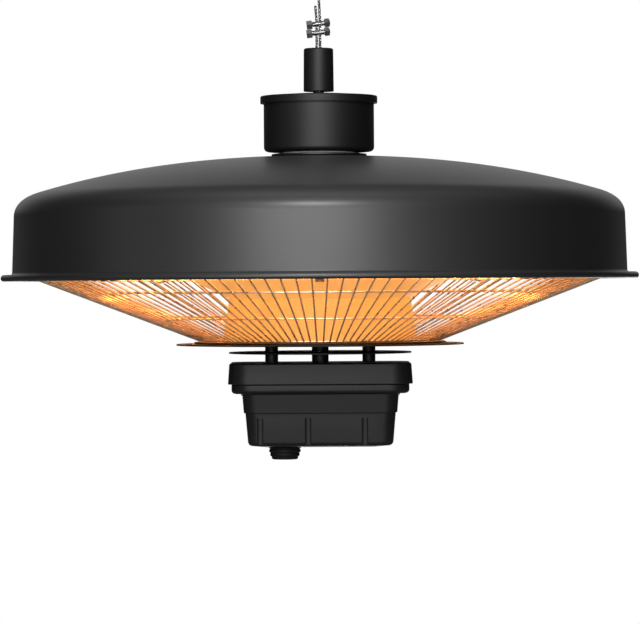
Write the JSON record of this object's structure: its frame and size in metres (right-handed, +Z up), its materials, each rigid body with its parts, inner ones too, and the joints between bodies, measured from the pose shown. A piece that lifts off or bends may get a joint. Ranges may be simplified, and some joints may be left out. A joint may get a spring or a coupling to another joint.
{
  "type": "hanging patio heater",
  "caption": "Round ceiling-hung electric patio heater: steel dome, quartz ring behind a wire guard, control box below, on a wire rope",
  "frame": {"origin": "The middle of the ceiling plate's top face, where the heater hangs from the ceiling", "axes": "+Z is up, against gravity, and out of the ceiling plate's top face. The front is towards -Y: the cable gland is at the back, on the +Y side. +X is to the right seen from the front."},
  "size_m": [0.425, 0.425, 0.3818],
  "materials": {
    "satin_black": "satin black powder coat",
    "guard_black": "dark heat-proof coat on wire",
    "black_plastic": "fine moulded texture",
    "black_rubber": "matte",
    "zinc_steel": "bright zinc plate",
    "rope_steel": "galvanised stranded wire",
    "polished_reflector": "polished, spun",
    "pale_fibre": "pressed mineral fibre",
    "white_ceramic": "unglazed",
    "quartz_glass": "clear, glowing when on",
    "hot_filament": "glowing coil",
    "green_board": "solder mask",
    "blue_relay": "moulded",
    "receiver_tint": "dark infrared window"
  },
  "bodies": {
    "ceiling_fitting": {"ceiling_plate": "zinc_steel", "ceiling_bail": "zinc_steel"},
    "rope": {"wire_rope": "rope_steel", "upper_ferrule": "zinc_steel", "lower_clamp_1_bolt": "zinc_steel", "lower_clamp_1_nut": "zinc_steel", "lower_clamp_2_bolt": "zinc_steel", "lower_clamp_2_nut": "zinc_steel"},
    "boss": {"boss_sleeve": "satin_black", "boss_core": "zinc_steel", "boss_pin": "zinc_steel"},
    "heater": {"centre_stem": "zinc_steel", "stem_head_nut": "zinc_steel", "stem_canister_nut": "zinc_steel", "stem_dome_nut": "zinc_steel", "stem_box_nut": "zinc_steel", "canister_lid": "satin_black", "canister_body": "satin_black", "terminal_block": "white_ceramic", "cable_gland": "black_plastic", "gland_lock_nut": "black_plastic", "insulating_washer": "pale_fibre", "top_disc": "satin_black", "dome_shell": "satin_black", "reflector_cone": "polished_reflector", "reflector_drum": "polished_reflector", "quartz_tube": "quartz_glass", "heating_filament": "hot_filament", "end_cap_left": "white_ceramic", "end_cap_right": "white_ceramic", "tube_hanger_1": "zinc_steel", "tube_hanger_2": "zinc_steel", "tube_hanger_3": "zinc_steel", "wire_guard": "guard_black", "guard_hoop_1": "guard_black", "guard_hoop_2": "guard_black", "guard_clip_1": "zinc_steel", "guard_clip_2": "zinc_steel", "guard_clip_3": "zinc_steel", "guard_base": "satin_black", "large_heat_shield": "satin_black", "small_heat_shield": "satin_black", "stem_spacer_upper": "satin_black", "stem_spacer_lower": "satin_black", "side_spacer_left": "satin_black", "side_spacer_right": "satin_black", "side_screw_left": "zinc_steel", "side_screw_right": "zinc_steel", "box_lid": "black_plastic", "box_seal": "black_rubber", "box_tub": "black_plastic", "tub_screw_1": "zinc_steel", "tub_screw_2": "zinc_steel", "tub_screw_3": "zinc_steel", "tub_screw_4": "zinc_steel", "circuit_board": "green_board", "power_relay": "blue_relay", "infrared_receiver": "receiver_tint", "power_switch": "black_plastic"},
    "button": {"power_button": "black_rubber"}
  },
  "joints": [
    {"name": "rope_swing", "type": "hinge", "parent": "ceiling_fitting", "child": "rope", "pos_m": [0, 0, -0.013], "axis": [1, 0, 0], "range_deg": [-45, 45]},
    {"name": "heater_tilt", "type": "hinge", "parent": "rope", "child": "boss", "pos_m": [0, 0, -0.116], "axis": [0, 1, 0], "range_deg": [-20, 20]},
    {"name": "heater_swivel", "type": "hinge", "parent": "boss", "child": "heater", "pos_m": [0, 0, -0.13], "axis": [0, 0, 1], "range_deg": [-180, 180]},
    {"name": "button_press", "type": "slide", "parent": "heater", "child": "button", "axis": [0, 0, 1], "range_m": [0, 0.0025], "stiffness_N_per_m": 200}
  ]
}
